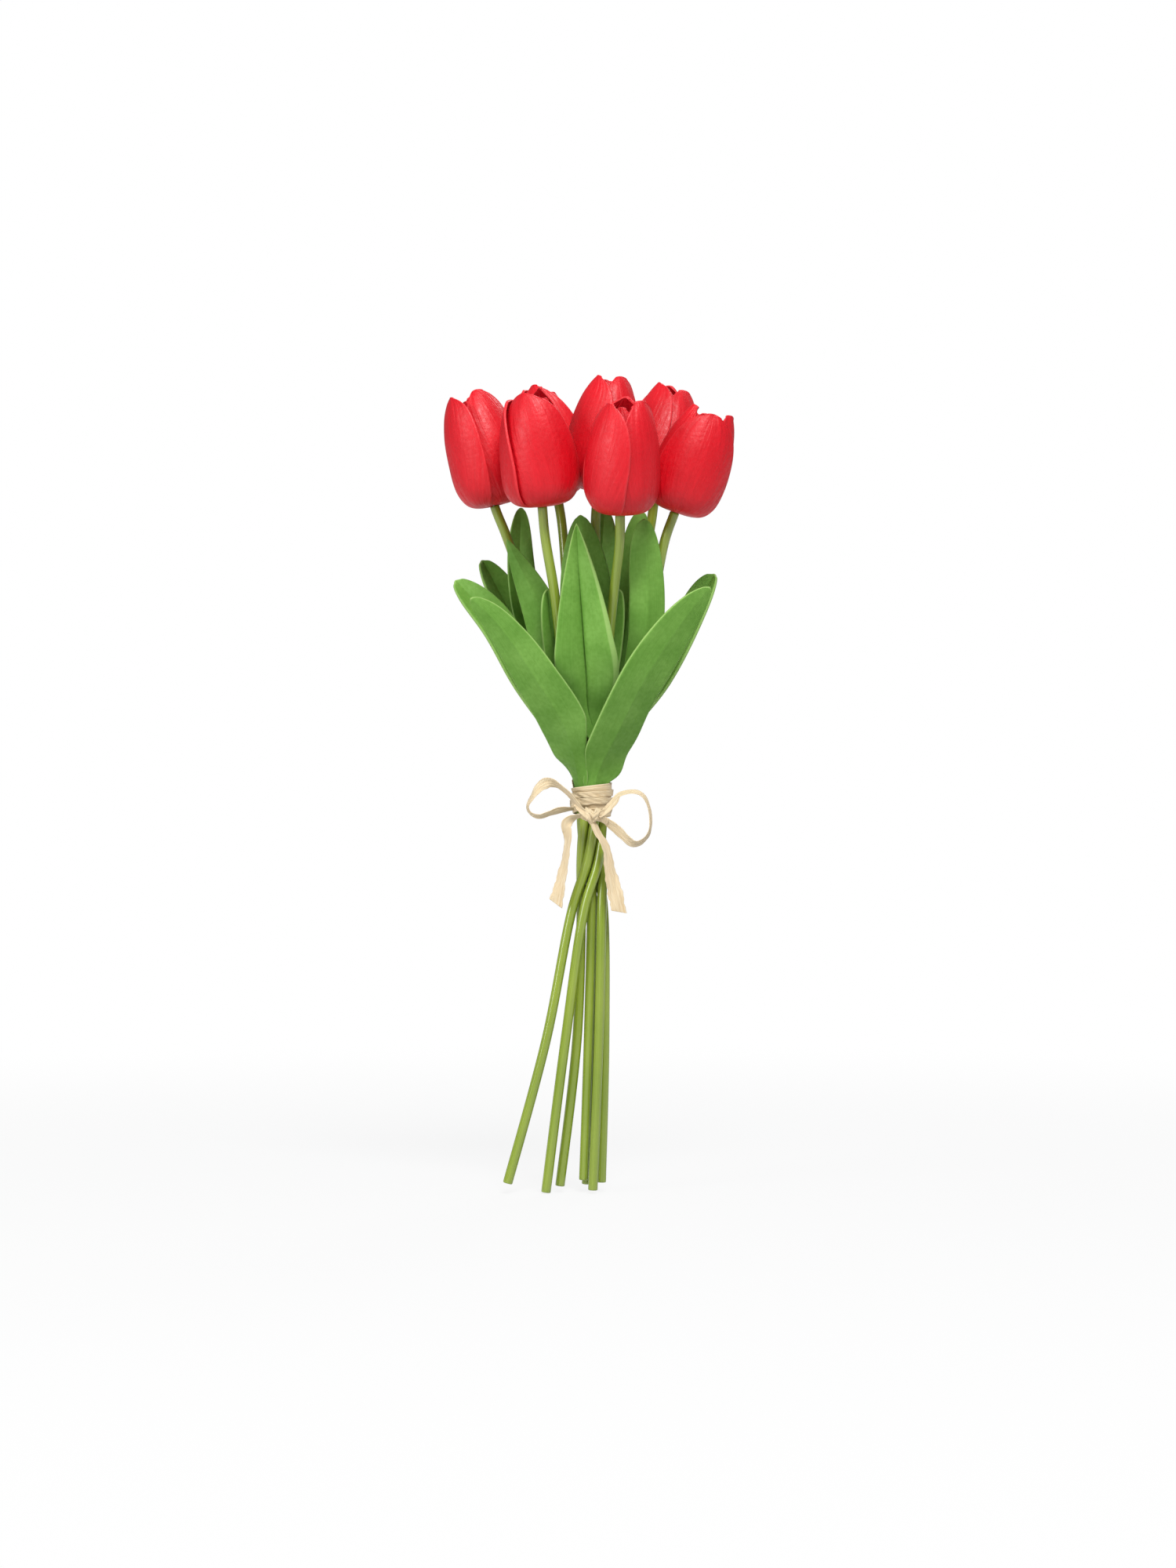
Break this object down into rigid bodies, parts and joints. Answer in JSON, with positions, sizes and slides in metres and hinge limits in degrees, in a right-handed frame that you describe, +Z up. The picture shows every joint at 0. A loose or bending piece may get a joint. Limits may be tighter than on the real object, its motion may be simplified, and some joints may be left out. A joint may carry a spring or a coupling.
{
  "type": "artificial tulip bunch",
  "caption": "Hand-tied bunch of red artificial tulips with bendable wired stems, strap leaves and a raffia bow; each flower nods on its neck.",
  "frame": {"origin": "centre of the raffia winding, on the middle stem's line, where a hand holds the bunch", "axes": "+Z up along the stems to the flowers, +X to the right seen from the bow, -Y the side with the bow"},
  "size_m": [0.1178, 0.0905, 0.341],
  "materials": {
    "stem_plastic": "satin",
    "wire_steel": "drawn",
    "outer_petal": "satin, soft-touch",
    "inner_petal": "satin, soft-touch",
    "foam": "matt foam",
    "leaf": "matt, soft-touch",
    "raffia": "fibrous"
  },
  "bodies": {
    "bunch": {"tulip1_stem": "stem_plastic", "tulip1_wire": "wire_steel", "tulip2_stem": "stem_plastic", "tulip2_wire": "wire_steel", "tulip3_stem": "stem_plastic", "tulip3_wire": "wire_steel", "tulip4_stem": "stem_plastic", "tulip4_wire": "wire_steel", "tulip5_stem": "stem_plastic", "tulip5_wire": "wire_steel", "tulip6_stem": "stem_plastic", "tulip6_wire": "wire_steel", "tulip7_stem": "stem_plastic", "tulip7_wire": "wire_steel", "tulip1_front_leaf": "leaf", "tulip1_rear_leaf": "leaf", "tulip2_outer_leaf": "leaf", "tulip2_inner_leaf": "leaf", "tulip3_outer_leaf": "leaf", "tulip3_rear_leaf": "leaf", "tulip4_front_leaf": "leaf", "tulip4_rear_leaf": "leaf", "tulip5_outer_leaf": "leaf", "tulip5_inner_leaf": "leaf", "tulip6_outer_leaf": "leaf", "tulip6_inner_leaf": "leaf", "tulip7_outer_leaf": "leaf", "tulip7_inner_leaf": "leaf", "raffia_winding": "raffia", "raffia_knot": "raffia", "bow_loop_left": "raffia", "bow_loop_right": "raffia", "bow_tail_left": "raffia", "bow_tail_right": "raffia"},
    "tulip1_flower": {"tulip1_outer_petals": "outer_petal", "tulip1_inner_petals": "inner_petal", "tulip1_foam_core": "foam"},
    "tulip2_flower": {"tulip2_outer_petals": "outer_petal", "tulip2_inner_petals": "inner_petal", "tulip2_foam_core": "foam"},
    "tulip3_flower": {"tulip3_outer_petals": "outer_petal", "tulip3_inner_petals": "inner_petal", "tulip3_foam_core": "foam"},
    "tulip4_flower": {"tulip4_outer_petals": "outer_petal", "tulip4_inner_petals": "inner_petal", "tulip4_foam_core": "foam"},
    "tulip5_flower": {"tulip5_outer_petals": "outer_petal", "tulip5_inner_petals": "inner_petal", "tulip5_foam_core": "foam"},
    "tulip6_flower": {"tulip6_outer_petals": "outer_petal", "tulip6_inner_petals": "inner_petal", "tulip6_foam_core": "foam"},
    "tulip7_flower": {"tulip7_outer_petals": "outer_petal", "tulip7_inner_petals": "inner_petal", "tulip7_foam_core": "foam"}
  },
  "joints": [
    {"name": "tulip1_nod", "type": "hinge", "parent": "bunch", "child": "tulip1_flower", "pos_m": [-0.0406, 0.001, 0.1226], "axis": [0, -1, 0], "range_deg": [0, 25], "deforming": ["tulip1_wire"]},
    {"name": "tulip2_nod", "type": "hinge", "parent": "bunch", "child": "tulip2_flower", "pos_m": [-0.0204, -0.022, 0.1206], "axis": [0.7549, -0.6559, 0], "range_deg": [0, 25], "deforming": ["tulip2_wire"]},
    {"name": "tulip3_nod", "type": "hinge", "parent": "bunch", "child": "tulip3_flower", "pos_m": [-0.0146, 0.02, 0.1284], "axis": [-0.7825, -0.6226, 0], "range_deg": [0, 25], "deforming": ["tulip3_wire"]},
    {"name": "tulip4_nod", "type": "hinge", "parent": "bunch", "child": "tulip4_flower", "pos_m": [0.0026, -0.004, 0.1284], "axis": [0, 1, 0], "range_deg": [0, 10], "deforming": ["tulip4_wire"]},
    {"name": "tulip5_nod", "type": "hinge", "parent": "bunch", "child": "tulip5_flower", "pos_m": [0.0115, -0.033, 0.1164], "axis": [0.9523, 0.3051, 0], "range_deg": [0, 25], "deforming": ["tulip5_wire"]},
    {"name": "tulip6_nod", "type": "hinge", "parent": "bunch", "child": "tulip6_flower", "pos_m": [0.0266, 0.02, 0.1284], "axis": [-0.6242, 0.7813, 0], "range_deg": [0, 25], "deforming": ["tulip6_wire"]},
    {"name": "tulip7_nod", "type": "hinge", "parent": "bunch", "child": "tulip7_flower", "pos_m": [0.0342, -0.016, 0.1186], "axis": [0.4019, 0.9157, 0], "range_deg": [0, 25], "deforming": ["tulip7_wire"]}
  ]
}
